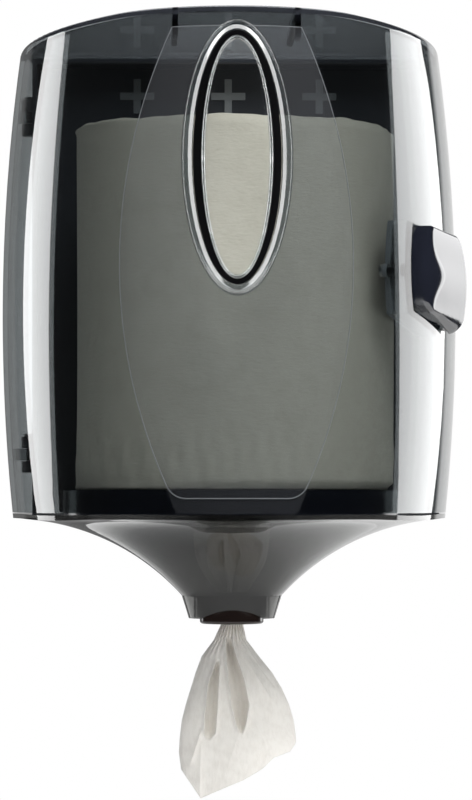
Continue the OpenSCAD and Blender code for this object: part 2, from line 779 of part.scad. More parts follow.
module window_ring() {
  color("#6a7076", 0.6) intersection() {
    front_layer(-ring_rise, -0.05);
    through_front() oval_band(ring_w, ring_h, ring_band);
  }
}

// Black gasket: a band in the cover's hole with a lip behind the lens.
module window_gasket() {
  w = window_hole_w - 2*window_fit;
  h = window_hole_h - 2*window_fit;
  color("#0d0e10") {
    intersection() {
      front_layer(-0.4, wall + 0.8);
      through_front() difference() {
        oval(w, h);
        oval(lens_w + 2*window_fit, lens_h + 2*window_fit);
      }
    }
    intersection() {
      front_layer(lens_t - 0.6, wall + 0.8);
      through_front() difference() {
        oval(w - 1, h - 1);
        oval(lens_w - 3, lens_h - 3);
      }
    }
  }
}

// Clear lens with a raised rim, broken where its six clips sit.
module window_lens() {
  color("#dfe6e8", 0.35) {
    intersection() {
      front_layer(-0.7, lens_t - 0.7);
      through_front() oval(lens_w, lens_h);
    }
    intersection() {
      front_layer(-0.7 - lens_rim_rise, -0.5);
      through_front() difference() {
        oval_band(lens_w, lens_h, lens_rim);
        for (z = [-0.3, 0, 0.3]) translate([-lens_w, window_z + z*lens_h - 2]) square([2*lens_w, 4]);
      }
    }
  }
}

// Bridge across the sleeve, with a hole for the button's post.
module latch_bridge() {
  color("#303338") difference() {
    bridge_block(bridge_u - strip_t, bridge_u - 0.02);
    at_latch() translate([bridge_u - strip_t - 1, 0, 0]) rotate([0, 90, 0])
      cylinder(r = post_r + latch_fit, h = strip_t + 2, $fn = 64);
    at_bridge_screws() translate([0, 0, -1]) screw_hole(strip_t + 2);
  }
}

module bridge_screws() {
  color("#9a9da0") at_bridge_screws() screw(strip_t + sleeve_d*0.5);
}

// Compression spring round the post, between the bridge and the button.
module latch_spring() {
  sides = 6;
  steps = 16*coil_turns;
  run = latch_rise - button_t - 1.2 - bridge_u - 2*wire_r;
  rings = [for (i = [0:steps]) let (a = 360*coil_turns*i/steps, x = bridge_u + wire_r + run*i/steps)
    [for (k = [0:sides - 1]) let (b = 360*k/sides, r = coil_r + wire_r*cos(b))
      [x + wire_r*sin(b), r*cos(a), r*sin(a)]]];
  color("#c3c6c9") at_latch() ring_skin(rings);
}

// Hollow press button with the post that carries the hook arm.
module latch_button() {
  color("#20242c") at_latch() difference() {
    union() {
      difference() {
        latch_form(0, bridge_u + latch_travel + 1);
        latch_form(button_t, bridge_u);
      }
      intersection() {
        translate([arm_u, 0, 0]) rotate([0, 90, 0]) cylinder(r = post_r, h = 40, $fn = 64);
        union() {
          latch_form(button_t/2, bridge_u);
          translate([arm_u - 1, -10, -10]) cube([bridge_u - arm_u + 4, 20, 20]);
        }
      }
    }
    translate([arm_u - 1, 0, 0]) rotate([0, 90, 0]) screw_hole(9);
  }
}

// Hook arm in plan, from the post to behind the keeper's rib.
module arm_plan() {
  s = sin(latch_a);
  c = cos(latch_a);
  x0 = latch_x + arm_u*c;
  y0 = -latch_y - arm_u*s;
  edge = rib_x - latch_fit;
  polygon([
    [x0 - 8*s, y0 - 8*c],
    [x0 + 14*s, y0 + 14*c],
    [edge, rib_y - 26],
    [edge, rib_y + rib_w + latch_fit],
    [rib_x + hook_grip, rib_y + rib_w + latch_fit],
    [rib_x + hook_grip, rib_y + rib_w + latch_fit + 1.5],
    [edge, rib_y + rib_w + 6],
    [edge - strip_t, rib_y + rib_w + 6],
    [edge - strip_t, rib_y - 25],
    [x0 + 13*s - strip_t*c, y0 + 13*c + strip_t*s],
    [x0 - 8*s - strip_t*c, y0 - 8*c + strip_t*s]
  ]);
}

module latch_arm() {
  color("#8f949a") difference() {
    translate([0, 0, -arm_h/2]) linear_extrude(arm_h) arm_plan();
    at_latch() translate([arm_u - strip_t - 1, 0, 0]) rotate([0, 90, 0]) screw_hole(strip_t + 2);
  }
}

module arm_screw() {
  color("#9a9da0") at_latch() translate([arm_u - strip_t, 0, 0]) rotate([0, 90, 0]) screw(strip_t + 7);
}

back_plate();
slot_plugs();
hinge_pins();
funnel_pan();
pan_screws();
nozzle_insert();
nozzle_ring();
roll_shelf();
shelf_screws();
latch_keeper();
keeper_screws();
towel_roll();
towel_web();
towel_tail();
front_cover();
window_ring();
window_gasket();
window_lens();
latch_bridge();
bridge_screws();
latch_spring();
latch_button();
latch_arm();
arm_screw();
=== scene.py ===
import bmesh
import bpy
import numpy as np
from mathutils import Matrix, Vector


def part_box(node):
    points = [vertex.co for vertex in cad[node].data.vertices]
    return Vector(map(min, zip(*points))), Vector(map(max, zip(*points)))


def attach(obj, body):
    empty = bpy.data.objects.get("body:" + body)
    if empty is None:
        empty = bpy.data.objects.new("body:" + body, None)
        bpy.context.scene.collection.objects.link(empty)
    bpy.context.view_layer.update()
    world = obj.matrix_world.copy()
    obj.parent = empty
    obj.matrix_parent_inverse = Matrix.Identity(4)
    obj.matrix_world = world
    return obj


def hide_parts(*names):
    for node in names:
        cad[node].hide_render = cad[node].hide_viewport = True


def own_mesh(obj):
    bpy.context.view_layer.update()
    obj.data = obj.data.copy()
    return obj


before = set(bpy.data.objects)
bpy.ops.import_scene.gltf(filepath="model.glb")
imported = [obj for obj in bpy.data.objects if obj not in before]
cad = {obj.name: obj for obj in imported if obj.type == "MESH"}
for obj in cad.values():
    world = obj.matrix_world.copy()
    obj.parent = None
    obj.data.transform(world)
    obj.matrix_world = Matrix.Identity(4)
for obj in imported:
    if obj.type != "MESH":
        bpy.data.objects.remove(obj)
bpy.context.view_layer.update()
scene = bpy.context.scene
scene.view_settings.view_transform = "Standard"
scene.cycles.transparent_max_bounces = 32   # a look through the case crosses many thin walls
print("frame loaded:", len(cad), "nodes")

mm = 0.001
axisY = -0.092   # the roll, funnel and nozzle share this upright axis


def toLinear(hexText):
    # sRGB hex to the linear colour that shaders take
    c = np.array([int(hexText[i:i + 2], 16) for i in (1, 3, 5)]) / 255
    c = np.where(c <= 0.04045, c / 12.92, ((c + 0.055) / 1.055) ** 2.4)
    return (*c.tolist(), 1.0)


def addNode(tree, kind, values=None, **settings):
    # one node with its settings; a value that is a socket becomes a link
    node = tree.nodes.new(kind)
    for key, value in settings.items():
        setattr(node, key, value)
    for key, value in (values or {}).items():
        if isinstance(value, bpy.types.NodeSocket):
            tree.links.new(value, node.inputs[key])
        else:
            node.inputs[key].default_value = value
    return node


def addMath(tree, operation, *values, **settings):
    # the result of one maths node on up to three values
    return addNode(tree, "ShaderNodeMath", dict(enumerate(values)), operation=operation, **settings).outputs[0]


def addRange(tree, value, span, onto=(0.0, 1.0)):
    # value carried from the two ends of span to the two ends of onto, held there beyond them
    ends = {"From Min": span[0], "From Max": span[1], "To Min": onto[0], "To Max": onto[1]}
    return addNode(tree, "ShaderNodeMapRange", {"Value": value, **ends}).outputs[0]


def addBlend(tree, amount, first, second):
    # the first colour where amount is 0, the second where it is 1
    return addNode(tree, "ShaderNodeMix", {0: amount, 6: first, 7: second}, data_type="RGBA").outputs[2]


def addMixed(tree, amount, first, second):
    # the first shader where amount is 0, the second where it is 1
    return addNode(tree, "ShaderNodeMixShader", {0: amount, 1: first, 2: second}).outputs[0]


def addNoise(tree, place, size, detail, rough=0.5):
    # cloudy noise whose features are about size mm
    values = {"Vector": place, "Scale": 1 / (size * mm), "Detail": detail, "Roughness": rough}
    return addNode(tree, "ShaderNodeTexNoise", values).outputs["Fac"]


def addBump(tree, height, strength, distance):
    # a bumped normal; distance in mm
    values = {"Height": height, "Strength": strength, "Distance": distance * mm}
    return addNode(tree, "ShaderNodeBump", values).outputs[0]


def newMaterial(name):
    material = bpy.data.materials.new(name)
    material.use_nodes = True
    material.node_tree.nodes.clear()
    return material, material.node_tree


def between(v, start, end):
    # how far v has come from start to end, 0 to 1
    return np.clip((v - start) / (end - start), 0, 1)


def easeIn(v):
    # 0 to 1 with level ends
    v = np.clip(v, 0, 1)
    return v * v * (3 - 2 * v)


def gridPiece(name, points, material):
    # points[j, i] is row j along the piece and column i round it; the last column joins the first
    rows, columns = points.shape[:2]
    index = np.arange(rows * columns).reshape(rows, columns)
    nextColumn = np.roll(index, -1, axis=1)
    quads = np.stack([index[:-1], index[1:], nextColumn[1:], nextColumn[:-1]], axis=-1).reshape(-1, 4)
    mesh = bpy.data.meshes.new(name)
    mesh.vertices.add(rows * columns)
    mesh.vertices.foreach_set("co", points.reshape(-1).astype(np.float32))
    mesh.loops.add(quads.size)
    mesh.loops.foreach_set("vertex_index", quads.reshape(-1).astype(np.int32))
    mesh.polygons.add(len(quads))
    mesh.polygons.foreach_set("loop_start", np.arange(0, quads.size, 4, dtype=np.int32))
    mesh.polygons.foreach_set("use_smooth", np.ones(len(quads), dtype=bool))
    mesh.update(calc_edges=True)
    mesh.validate()
    piece = bpy.data.objects.new(name, mesh)
    scene.collection.objects.link(piece)
    mesh.materials.append(material)
    return piece


def closePoles(piece, closed=True):
    # welds the points that meet at a pole; a closed form then has its faces turned outwards
    work = bmesh.new()
    work.from_mesh(piece.data)
    bmesh.ops.remove_doubles(work, verts=work.verts, dist=1e-6)
    if closed:
        bmesh.ops.recalc_face_normals(work, faces=work.faces)
    work.to_mesh(piece.data)
    work.free()
    piece.data.polygons.foreach_set("use_smooth", np.ones(len(piece.data.polygons), dtype=bool))


def thickenPaper(piece):
    # gives a sheet the thickness of tissue, inwards
    thicken = piece.modifiers.new("paper", "SOLIDIFY")
    thicken.thickness = 0.00025
    thicken.offset = -1


# camera: level view a little left of the middle, its height at the foot of the case
cameraSet = {"distance": 1.824, "turn": -1.2, "aimY": -0.098, "height": -0.1117, "lens": 109.2, "sensor": 24,
             "shift": (0.005, 0.125)}
turn = np.radians(cameraSet["turn"])
cameraData = bpy.data.cameras.new("camera")
cameraData.sensor_fit = "VERTICAL"
cameraData.sensor_height = cameraSet["sensor"]
cameraData.lens = cameraSet["lens"]
cameraData.shift_x, cameraData.shift_y = cameraSet["shift"]
camera = bpy.data.objects.new("camera", cameraData)
camera.location = (np.sin(turn) * cameraSet["distance"],
                   cameraSet["aimY"] - np.cos(turn) * cameraSet["distance"], cameraSet["height"])
camera.rotation_euler = (np.radians(90), 0, turn)
scene.collection.objects.link(camera)
scene.camera = camera
print("camera placed")


# studio: a white sweep behind, a dim room in front, a soft box above, a low fill at the right, a tall oval card behind
# each side whose mirror image is the bright upright band on that side of the case, and three edge lamps in front that
# light only the window's ring and lens rim
lamps = {
    "topBox": {"place": (0.34, -1.2, 1.2), "aim": (0, -0.1, 0), "size": (0.9, 0.9), "watts": 35,
               "shape": "RECTANGLE", "mirrored": False},
    "leftCard": {"place": (-0.762, 0.678, 0.07), "aim": (-0.11, -0.1, 0.07), "size": (0.285, 0.72), "watts": 1.42,
                 "shape": "ELLIPSE"},
    "rightCard": {"place": (0.771, 0.668, 0.06), "aim": (0.11, -0.1, 0.06), "size": (0.54, 0.74), "watts": 2.9,
                  "shape": "ELLIPSE"},
    "lowFill": {"place": (0.9, -1.2, -0.6), "aim": (0, -0.1, -0.2), "size": (0.7, 0.7), "watts": 9,
                "shape": "RECTANGLE", "mirrored": False},
    "edgeLeft": {"place": (-0.47, -1.31, 0.05), "aim": (0, -0.2, 0.05), "size": (0.6, 1.3), "watts": 10,
                 "shape": "RECTANGLE", "edges": True},
    "edgeRight": {"place": (0.47, -1.31, 0.05), "aim": (0, -0.2, 0.05), "size": (0.6, 1.3), "watts": 10,
                  "shape": "RECTANGLE", "edges": True},
    "edgeTop": {"place": (0, -1.31, 0.62), "aim": (0, -0.2, 0.1), "size": (0.9, 0.3), "watts": 3.6,
                "shape": "RECTANGLE", "edges": True},
}
edgePieces = bpy.data.collections.new("edgePieces")   # the edge lamps light only what is linked here
for name, lamp in lamps.items():
    data = bpy.data.lights.new(name, "AREA")
    data.shape = lamp["shape"]
    data.size, data.size_y = lamp["size"]
    data.energy = lamp["watts"]
    lampObject = bpy.data.objects.new(name, data)
    lampObject.location = lamp["place"]
    way = np.array(lamp["aim"]) - np.array(lamp["place"])
    yaw = np.arctan2(way[1], way[0]) - np.pi / 2
    pitch = np.pi / 2 + np.arctan2(way[2], np.hypot(way[0], way[1]))
    lampObject.rotation_euler = (pitch, 0, yaw)
    lampObject.visible_camera = False
    lampObject.visible_glossy = lamp.get("mirrored", True)
    if lamp.get("edges"):
        lampObject.light_linking.receiver_collection = edgePieces
    scene.collection.objects.link(lampObject)

# mirror rays see the sweep only where they run back past the object, brighter to the right; the room in front stays dim
skySet = {"behind": (0.89, 0.915), "across": (-0.05, 0.05), "sides": (0.13, 0.8), "room": 0.3, "dim": 0.02}
world = bpy.data.worlds.new("studio")
scene.world = world
world.use_nodes = True
tree = world.node_tree
tree.nodes.clear()
path = addNode(tree, "ShaderNodeLightPath").outputs
direction = addNode(tree, "ShaderNodeTexCoord").outputs["Generated"]
along = addNode(tree, "ShaderNodeSeparateXYZ", {0: direction}).outputs
behind = addRange(tree, along["Y"], skySet["behind"])
side = addRange(tree, along["X"], skySet["across"], skySet["sides"])
glossy = addMath(tree, "MULTIPLY", path["Is Glossy Ray"], addMath(tree, "MULTIPLY", behind, side))
shown = addMath(tree, "MAXIMUM", path["Is Camera Ray"], path["Is Transmission Ray"])
white = addMath(tree, "MAXIMUM", shown, glossy)
sweep = addNode(tree, "ShaderNodeBackground", {"Color": (1, 1, 1, 1), "Strength": 1.0}).outputs[0]
room = addNode(tree, "ShaderNodeBackground", {"Color": toLinear("#eceff3"), "Strength": skySet["room"]}).outputs[0]
dim = addNode(tree, "ShaderNodeBackground", {"Color": toLinear("#e9edf2"), "Strength": skySet["dim"]}).outputs[0]
fill = addMixed(tree, path["Is Glossy Ray"], room, dim)
addNode(tree, "ShaderNodeOutputWorld", {"Surface": addMixed(tree, white, fill, sweep)})
print("studio lit")


# painted studio floor: pale, and it fades into the white sweep at its edge
floorSet = {"level": -0.36, "radius": 1.0, "middleY": -0.1, "fade": (0.6, 0.98), "rings": 12, "steps": 96}
floorMaterial, tree = newMaterial("painted_floor")
spot = addNode(tree, "ShaderNodeTexCoord").outputs["Object"]
length = addNode(tree, "ShaderNodeVectorMath", {0: spot}, operation="LENGTH").outputs["Value"]
paint = addNode(tree, "ShaderNodeBsdfDiffuse", {"Color": toLinear("#f2f2f0")}).outputs[0]
glow = addNode(tree, "ShaderNodeEmission", {"Color": (1, 1, 1, 1), "Strength": 1.0}).outputs[0]
mixed = addMixed(tree, addRange(tree, length, floorSet["fade"]), paint, glow)
addNode(tree, "ShaderNodeOutputMaterial", {"Surface": mixed})
spread = np.linspace(0, floorSet["radius"], floorSet["rings"])[:, None]
around = np.linspace(0, 2 * np.pi, floorSet["steps"], endpoint=False)[None, :]
x = spread * np.cos(around)
floorPoints = np.stack([x, spread * np.sin(around) + floorSet["middleY"], np.full_like(x, floorSet["level"])], axis=-1)
floor = gridPiece("floor", floorPoints, floorMaterial)
closePoles(floor, closed=False)


# tinted see-through plastic: light passes straight through each skin of the wall, tinted, and mirrors more at a
# glancing angle: straightOn at right angles, rising with a power of the slant as on polycarbonate. Lamp light that
# falls in on its way to the roll is tinted less, as it also comes in by ways that the shader leaves out
skinSet = {"slantPower": 4.6, "rippleSize": 60.0, "rippleDepth": 1.0, "rippleStrength": 0.02}


def tintedPlastic(name, tint, shade, gloss, straightOn=0.05, panel=None, roof=None):
    material, tree = newMaterial(name)
    slant = addNode(tree, "ShaderNodeLayerWeight", {"Blend": 0.5}).outputs["Facing"]
    rise = addMath(tree, "POWER", slant, skinSet["slantPower"])
    mirror = addMath(tree, "MULTIPLY_ADD", rise, 1 - straightOn, straightOn, use_clamp=True)
    spot = addNode(tree, "ShaderNodeTexCoord").outputs["Object"]
    ripple = addNoise(tree, spot, skinSet["rippleSize"], 1.0)
    bump = addBump(tree, ripple, skinSet["rippleStrength"], skinSet["rippleDepth"])
    light = addNode(tree, "ShaderNodeLightPath").outputs
    lit = addMath(tree, "MAXIMUM", light["Is Shadow Ray"], light["Is Diffuse Ray"])
    seen = toLinear(tint)
    if roof:
        # the roof has its own tint; its upright front edge and the two gussets behind it are the deepest, as sight
        # runs along inside the wall there
        at = addNode(tree, "ShaderNodeSeparateXYZ", {0: spot}).outputs
        high = addMath(tree, "GREATER_THAN", at["Z"], roof["from"] * mm)
        seen = addBlend(tree, high, seen, toLinear(roof["tint"]))
        normal = addNode(tree, "ShaderNodeNewGeometry").outputs["Normal"]
        tilt = addMath(tree, "ABSOLUTE", addNode(tree, "ShaderNodeSeparateXYZ", {0: normal}).outputs["Z"])
        upright = addMath(tree, "LESS_THAN", tilt, roof["upright"])
        level = addMath(tree, "COMPARE", at["Z"], roof["edge"] * mm, roof["edgeHalf"] * mm)
        edge = addMath(tree, "MULTIPLY", level, upright)
        aside = addMath(tree, "ABSOLUTE", at["X"])
        beside = addMath(tree, "COMPARE", aside, roof["gusset"] * mm, roof["gussetHalf"] * mm)
        above = addMath(tree, "GREATER_THAN", at["Z"], roof["gussetFoot"] * mm)
        ahead = addMath(tree, "LESS_THAN", at["Y"], roof["gussetBack"] * mm)
        gusset = addMath(tree, "MULTIPLY", addMath(tree, "MULTIPLY", beside, above), ahead)
        seen = addBlend(tree, addMath(tree, "MAXIMUM", edge, gusset), seen, toLinear(roof["edgeTint"]))
    colour = addBlend(tree, lit, seen, toLinear(shade))
    through = addNode(tree, "ShaderNodeBsdfTransparent", {"Color": colour}).outputs[0]
    skin = addNode(tree, "ShaderNodeBsdfGlossy", {"Color": (1, 1, 1, 1), "Roughness": gloss, "Normal": bump}).outputs[0]
    surface = addMixed(tree, mirror, through, skin)
    if panel:
        # the bowed front panel has a fine satin haze, most at its top; it lies inside where the size of x is less than
        # halfWidth - z * z / (2 * sideRadius)
        at = addNode(tree, "ShaderNodeSeparateXYZ", {0: spot}).outputs
        squared = addMath(tree, "MULTIPLY", at["Z"], at["Z"])
        bowed = addMath(tree, "MULTIPLY_ADD", squared, -0.5 / (panel["sideRadius"] * mm), panel["halfWidth"] * mm)
        gap = addMath(tree, "SUBTRACT", bowed, addMath(tree, "ABSOLUTE", at["X"]))
        inside = addRange(tree, gap, np.multiply(panel["sideFade"], mm))
        under = addRange(tree, at["Z"], np.multiply(panel["topFade"], mm))
        ahead = addMath(tree, "LESS_THAN", at["Y"], panel["back"] * mm)
        haze = addRange(tree, at["Z"], np.multiply(panel["span"], mm), panel["haze"])
        within = addMath(tree, "MULTIPLY", addMath(tree, "MULTIPLY", inside, ahead), under)
        satin = addNode(tree, "ShaderNodeBsdfDiffuse", {"Color": toLinear("#c9cbd2")}).outputs[0]
        surface = addMixed(tree, addMath(tree, "MULTIPLY", within, haze), surface, satin)
    addNode(tree, "ShaderNodeOutputMaterial", {"Surface": surface})
    return material


smokePlastic = tintedPlastic(
    "smoke_polycarbonate", "#c1c5c6", "#e9eae9", 0.03,
    panel={"halfWidth": 55.3, "sideRadius": 260.0, "sideFade": (-0.4, 0.6), "topFade": (111.5, 110.5), "back": -100.0,
           "span": (-111.0, 111.0), "haze": (0.016, 0.032)},
    roof={"from": 118.2, "tint": "#eef0f3", "edge": 119.5, "edgeHalf": 1.6, "edgeTint": "#4a4d54", "upright": 0.8,
          "gusset": 29.0, "gussetHalf": 1.3, "gussetFoot": 107.5, "gussetBack": -193.5})
funnelPlastic = tintedPlastic("dark_smoke_polycarbonate", "#9b9b9a", "#e2e3e2", 0.04)
bezelPlastic = tintedPlastic("bright_smoke_acrylic", "#d8dbdc", "#f4f5f5", 0.1, straightOn=0.14)
clearPlastic = tintedPlastic("clear_acrylic", "#f4f6f6", "#f8f9f9", 0.02)
rimPlastic = tintedPlastic("clear_acrylic_rim", "#e6e9e9", "#f4f5f5", 0.08, straightOn=0.2)
ribPlastic = tintedPlastic("deep_smoke_polycarbonate", "#3a3d43", "#a8aaae", 0.08)


# opaque moulded plastic: base colour with a faint drift, and a fine spark-eroded grain from the mould
def mouldedPlastic(name, pale, deep, rough, grain, grainDepth, index=1.52):
    material, tree = newMaterial(name)
    spot = addNode(tree, "ShaderNodeTexCoord").outputs["Object"]
    drift = addNoise(tree, spot, 40, 3.0)
    colour = addBlend(tree, drift, toLinear(deep), toLinear(pale))
    bump = addBump(tree, addNoise(tree, spot, grain, 2.0), grainDepth, 0.4)
    wear = addRange(tree, drift, (0.0, 1.0), (rough - 0.05, rough + 0.07))
    values = {"Base Color": colour, "Roughness": wear, "IOR": index, "Normal": bump}
    shader = addNode(tree, "ShaderNodeBsdfPrincipled", values)
    addNode(tree, "ShaderNodeOutputMaterial", {"Surface": shader.outputs[0]})
    return material


# the panel's step catches light along its edge: this bead is a painted highlight, its pale grey a fine line against the
# smoke
paintedHighlightEdge = mouldedPlastic("painted_highlight_edge", "#717477", "#6c6f72", 0.5, 0.9, 0.1)
blackAbs = mouldedPlastic("black_abs_moulded", "#3e4046", "#303239", 0.38, 0.9, 0.25)
shelfAbs = mouldedPlastic("dark_navy_abs_gloss", "#1d202b", "#12141c", 0.16, 2.5, 0.05)
brownAcetal = mouldedPlastic("brown_black_acetal", "#2c211e", "#1c1513", 0.14, 2.5, 0.05)
latchAbs = mouldedPlastic("navy_abs_gloss", "#1f222d", "#15171f", 0.1, 3.0, 0.03, index=2.2)
greyAbs = mouldedPlastic("grey_abs_moulded", "#8d9297", "#777c82", 0.4, 0.9, 0.2)
plugAbs = mouldedPlastic("grey_abs_plug", "#8c8f93", "#777b80", 0.5, 0.9, 0.2)
gasketRubber = mouldedPlastic("black_epdm_rubber", "#0b0b0d", "#060607", 0.6, 0.7, 0.2, index=1.25)

# zinc-plated steel: bright metal with a soft cloudy roughness
zincSteel, tree = newMaterial("zinc_plated_steel")
cloud = addNoise(tree, addNode(tree, "ShaderNodeTexCoord").outputs["Object"], 2, 3.0)
rough = addRange(tree, cloud, (0.0, 1.0), (0.2, 0.42))
tone = addBlend(tree, cloud, toLinear("#b4b6b8"), toLinear("#cfd0d1"))
steel = addNode(tree, "ShaderNodeBsdfPrincipled", {"Base Color": tone, "Metallic": 1.0, "Roughness": rough})
addNode(tree, "ShaderNodeOutputMaterial", {"Surface": steel.outputs[0]})


# creped tissue: warm white, with fine short crepe lines and soft cloudy fibres; pitch is the crepe spacing in mm, drawn
# about twice as coarse as real so that it shows
def tissuePaper(name, pale, deep, stretch, pitch, depth):
    material, tree = newMaterial(name)
    spot = addNode(tree, "ShaderNodeTexCoord").outputs["Object"]
    place = addNode(tree, "ShaderNodeMapping", {"Vector": spot, "Scale": stretch}).outputs[0]
    crepe = addNoise(tree, place, pitch, 4.0, 0.6)
    fibre = addNoise(tree, spot, 9, 5.0)
    height = addMath(tree, "MULTIPLY_ADD", fibre, 0.8, crepe)
    colour = addBlend(tree, height, toLinear(deep), toLinear(pale))
    values = {"Base Color": colour, "Roughness": 0.92, "IOR": 1.4, "Sheen Weight": 0.15, "Sheen Roughness": 0.6,
              "Normal": addBump(tree, height, depth, 0.6)}
    shader = addNode(tree, "ShaderNodeBsdfPrincipled", values)
    addNode(tree, "ShaderNodeOutputMaterial", {"Surface": shader.outputs[0]})
    return material


rollPaper = tissuePaper("creped_tissue_roll", "#ece5d8", "#cfc7b8", (0.35, 0.35, 1.0), 1.3, 0.5)
sheetPaper = tissuePaper("creped_tissue_sheet", "#f3efe9", "#dcd6ce", (1.0, 1.0, 0.35), 1.6, 0.5)
print("materials made")


finishes = {
    "back_plate": blackAbs, "roll_shelf": shelfAbs, "nozzle_ring": ribPlastic, "nozzle_insert": brownAcetal,
    "funnel_pan": funnelPlastic, "front_cover": smokePlastic, "window_gasket": gasketRubber, "slot_plugs": plugAbs,
    "latch_keeper": greyAbs, "latch_bridge": greyAbs, "latch_arm": greyAbs, "hinge_pins": zincSteel,
    "pan_screws": zincSteel, "shelf_screws": zincSteel, "keeper_screws": zincSteel, "bridge_screws": zincSteel,
    "arm_screw": zincSteel,
}
for name, material in finishes.items():
    cad[name].data.materials.clear()
    cad[name].data.materials.append(material)


# the case's rounded front: plan circles of the nose radius, drawn in with height by a barrel arc
case = {"noseRadius": 80.0, "noseY": -142.0, "barrel": 1000.0, "widest": -17.0, "join": 0.08}


def onFront(x, z, out):
    # the point on the front at x and z, lifted off the skin by out: radius of the plan circle at that height, then y
    arc = np.sqrt((case["barrel"] + out - case["join"]) ** 2 - (z - case["widest"]) ** 2)
    planRadius = case["noseRadius"] - case["barrel"] + arc
    return np.stack([x, case["noseY"] - np.sqrt(planRadius ** 2 - x ** 2), z], axis=-1)


# window bezel: an oval carried round with one section: a small bead at the outer edge, half a cosine wave up to a
# broad flat crown beside the gasket, and a quarter wave down; share runs across the band from its outer edge
ringSet = {"width": 52.6, "height": 130.6, "band": 5.3, "middle": 49.0, "foot": 0.02, "base": 0.45, "bead": 0.3,
           "beadEnd": 0.18, "beadPower": 0.5, "rise": 1.3, "riseEnd": 0.58, "fall": 1.1, "fallStart": 0.92,
           "steps": 320, "rows": 61}
a = np.linspace(0, 2 * np.pi, ringSet["steps"], endpoint=False)[None, :]
share = np.linspace(0, 1, ringSet["rows"])
swell = np.sin(np.pi * between(share, 0, ringSet["beadEnd"])) ** ringSet["beadPower"]
climb = 0.5 - 0.5 * np.cos(np.pi * between(share, ringSet["beadEnd"], ringSet["riseEnd"]))
sink = 1 - np.cos(np.pi / 2 * between(share, ringSet["fallStart"], 1))
lift = ringSet["base"] + ringSet["bead"] * swell + ringSet["rise"] * climb - ringSet["fall"] * sink
share = np.concatenate([[0.0], share, [1.0, 0.0]])[:, None]
lift = np.concatenate([[ringSet["foot"]], lift, [ringSet["foot"], ringSet["foot"]]])[:, None]
x = (ringSet["width"] / 2 - ringSet["band"] * share) * np.cos(a)
z = (ringSet["height"] / 2 - ringSet["band"] * share) * np.sin(a)
ring = gridPiece("window_bezel", onFront(x, ringSet["middle"] + z, lift) * mm, bezelPlastic)
closePoles(ring)
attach(ring, "cover")
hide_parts("window_ring")

# window lens: a clear oval plate bent to the front, from its middle out to its edge and back underneath
lensSet = {"width": 34.4, "height": 115.0, "thick": 2.0, "face": 0.7, "rows": 24}
inside = np.linspace(0, 1, lensSet["rows"])[:, None]
x = inside * lensSet["width"] / 2 * np.cos(a)
z = inside * lensSet["height"] / 2 * np.sin(a)
front = onFront(x, z + ringSet["middle"], lensSet["face"])
back = onFront(x, z + ringSet["middle"], lensSet["face"] - lensSet["thick"])
lens = gridPiece("window_pane", np.concatenate([front, back[::-1]]) * mm, clearPlastic)
closePoles(lens)
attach(lens, "cover")
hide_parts("window_lens")

# lens rim: two round beads side by side round the edge of the lens, their height the size of one full sine wave across
# the rim, made fuller by a power and notched a little at three heights
rimSet = {"wide": 2.2, "high": 0.75, "power": 0.3, "foot": -0.2, "rows": 33, "notches": (-0.3, 0.0, 0.3),
          "notchDepth": 0.5, "notchHalf": 1.2}
off = np.concatenate([np.linspace(0, rimSet["wide"], rimSet["rows"]), [rimSet["wide"], 0.0, 0.0]])[:, None]
waves = np.abs(np.sin(2 * np.pi * np.linspace(0, 1, rimSet["rows"])))
hump = np.concatenate([waves ** rimSet["power"], [rimSet["foot"], rimSet["foot"], 0.0]])[:, None]
x = (lensSet["width"] / 2 - off) * np.cos(a)
z = (lensSet["height"] / 2 - off) * np.sin(a)
whole = np.ones_like(z)
for level in rimSet["notches"]:
    notch = np.exp(-((z - level * lensSet["height"]) / rimSet["notchHalf"]) ** 4)
    whole = whole * (1 - rimSet["notchDepth"] * notch)
rimPoints = onFront(x, z + ringSet["middle"], lensSet["face"] + rimSet["high"] * hump * whole) * mm
lensRim = gridPiece("window_rim", rimPoints, rimPlastic)
closePoles(lensRim)
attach(lensRim, "cover")

# panel edge: a fine round bead along the step of the bowed panel, pale grey as a painted highlight. Its outline is two
# side arcs, two small corner arcs, and straight lines at the top and bottom
panelSet = {"halfWidth": 55.3, "sideRadius": 260.0, "corner": 10.0, "top": 111.0, "bottom": -111.0, "bead": 0.22,
            "lift": 0.68, "topSteps": 24, "sideSteps": 120, "cornerSteps": 24, "lowSteps": 30, "beadSteps": 10}
cornerZ = panelSet["bottom"] + panelSet["corner"]
bowX = panelSet["halfWidth"] - panelSet["sideRadius"]
bowIn = panelSet["sideRadius"] - panelSet["corner"]
cornerX = bowX + np.sqrt(bowIn ** 2 - cornerZ ** 2)
joinZ = cornerZ * panelSet["sideRadius"] / bowIn
sideZ = np.linspace(panelSet["top"], joinZ, panelSet["sideSteps"])
sideX = bowX + np.sqrt(panelSet["sideRadius"] ** 2 - sideZ ** 2)
joinTurn = np.arctan2(joinZ - cornerZ, sideX[-1] - cornerX)
swing = np.linspace(joinTurn, -np.pi / 2, panelSet["cornerSteps"])[1:]
topX = np.linspace(0, sideX[0], panelSet["topSteps"])[:-1]
lowX = np.linspace(cornerX, 0, panelSet["lowSteps"])[1:]
rightX = np.concatenate([topX, sideX, cornerX + panelSet["corner"] * np.cos(swing), lowX])
rightZ = np.concatenate([np.full_like(topX, panelSet["top"]), sideZ, cornerZ + panelSet["corner"] * np.sin(swing),
                         np.full_like(lowX, panelSet["bottom"])])
lineX = np.concatenate([rightX, -rightX[::-1][1:-1]])
lineZ = np.concatenate([rightZ, rightZ[::-1][1:-1]])
line = onFront(lineX, lineZ, panelSet["lift"])
lean = case["noseRadius"] / case["barrel"]
away = np.stack([lineX, line[:, 1] - case["noseY"], (lineZ - case["widest"]) * lean], axis=-1)
away /= np.linalg.norm(away, axis=1, keepdims=True)
run = np.roll(line, -1, axis=0) - np.roll(line, 1, axis=0)
run /= np.linalg.norm(run, axis=1, keepdims=True)
